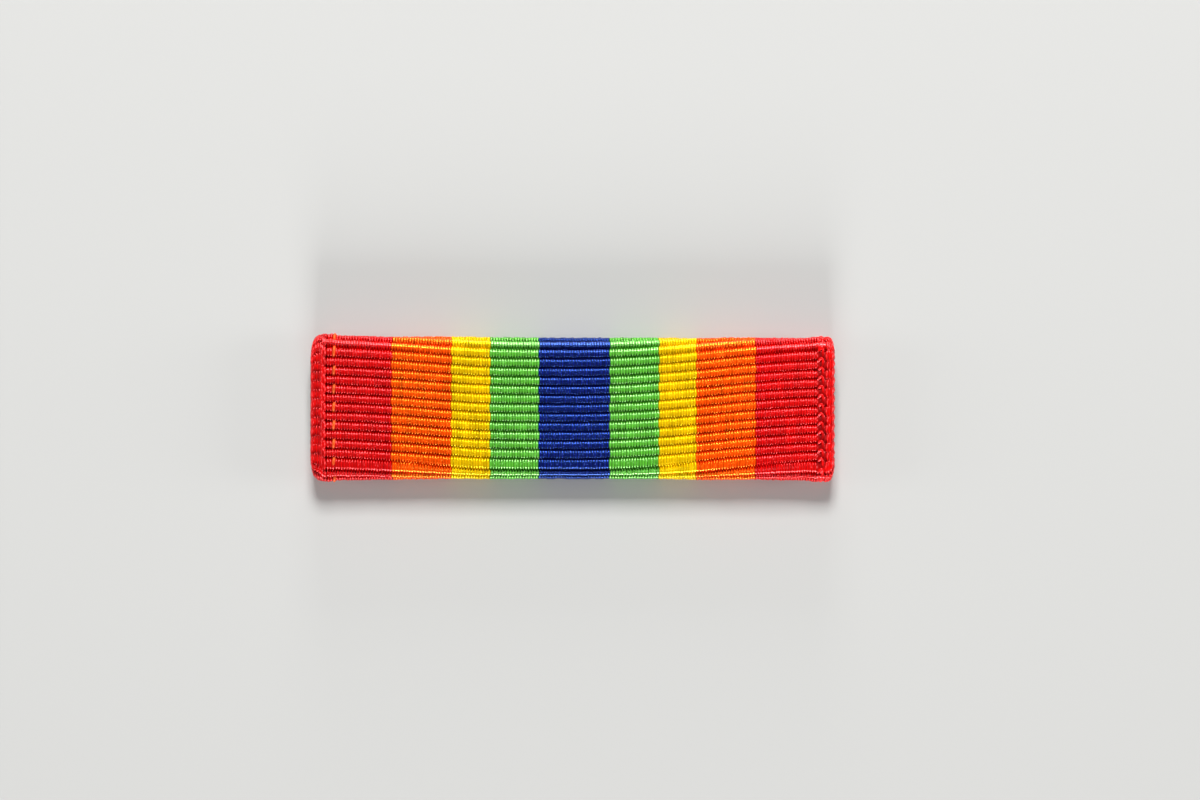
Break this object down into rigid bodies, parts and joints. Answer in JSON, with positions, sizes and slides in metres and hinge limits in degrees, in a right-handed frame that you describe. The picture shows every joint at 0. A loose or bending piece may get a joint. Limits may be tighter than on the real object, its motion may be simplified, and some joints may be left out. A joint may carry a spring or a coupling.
{
  "type": "ribbon bar",
  "caption": "Slide-on ribbon bar: cross-ribbed ribbon with scarlet, orange, yellow, green and blue stripes, folded round a thin brass channel.",
  "frame": {"origin": "middle of the plane that the bar's back rests on", "axes": "+X along the bar, to the wearer's left as seen from the front; +Y up the face; +Z out of the face"},
  "size_m": [0.0348, 0.0096, 0.0022],
  "materials": {
    "scarlet_cloth": "woven rayon ribbon with cross ribs, satiny, scarlet",
    "orange_cloth": "woven rayon ribbon with cross ribs, satiny, orange",
    "yellow_cloth": "woven rayon ribbon with cross ribs, satiny, golden yellow",
    "green_cloth": "woven rayon ribbon with cross ribs, satiny, emerald green",
    "blue_cloth": "woven rayon ribbon with cross ribs, satiny, ultramarine blue",
    "brass_sheet": "rolled brass sheet, brushed and lightly tarnished"
  },
  "bodies": {
    "root": {"slide_mount": "brass_sheet", "selvedge_left": "scarlet_cloth", "scarlet_left": "scarlet_cloth", "orange_left": "orange_cloth", "yellow_left": "yellow_cloth", "green_left": "green_cloth", "blue_centre": "blue_cloth", "green_right": "green_cloth", "yellow_right": "yellow_cloth", "orange_right": "orange_cloth", "scarlet_right": "scarlet_cloth", "selvedge_right": "scarlet_cloth"}
  },
  "joints": []
}
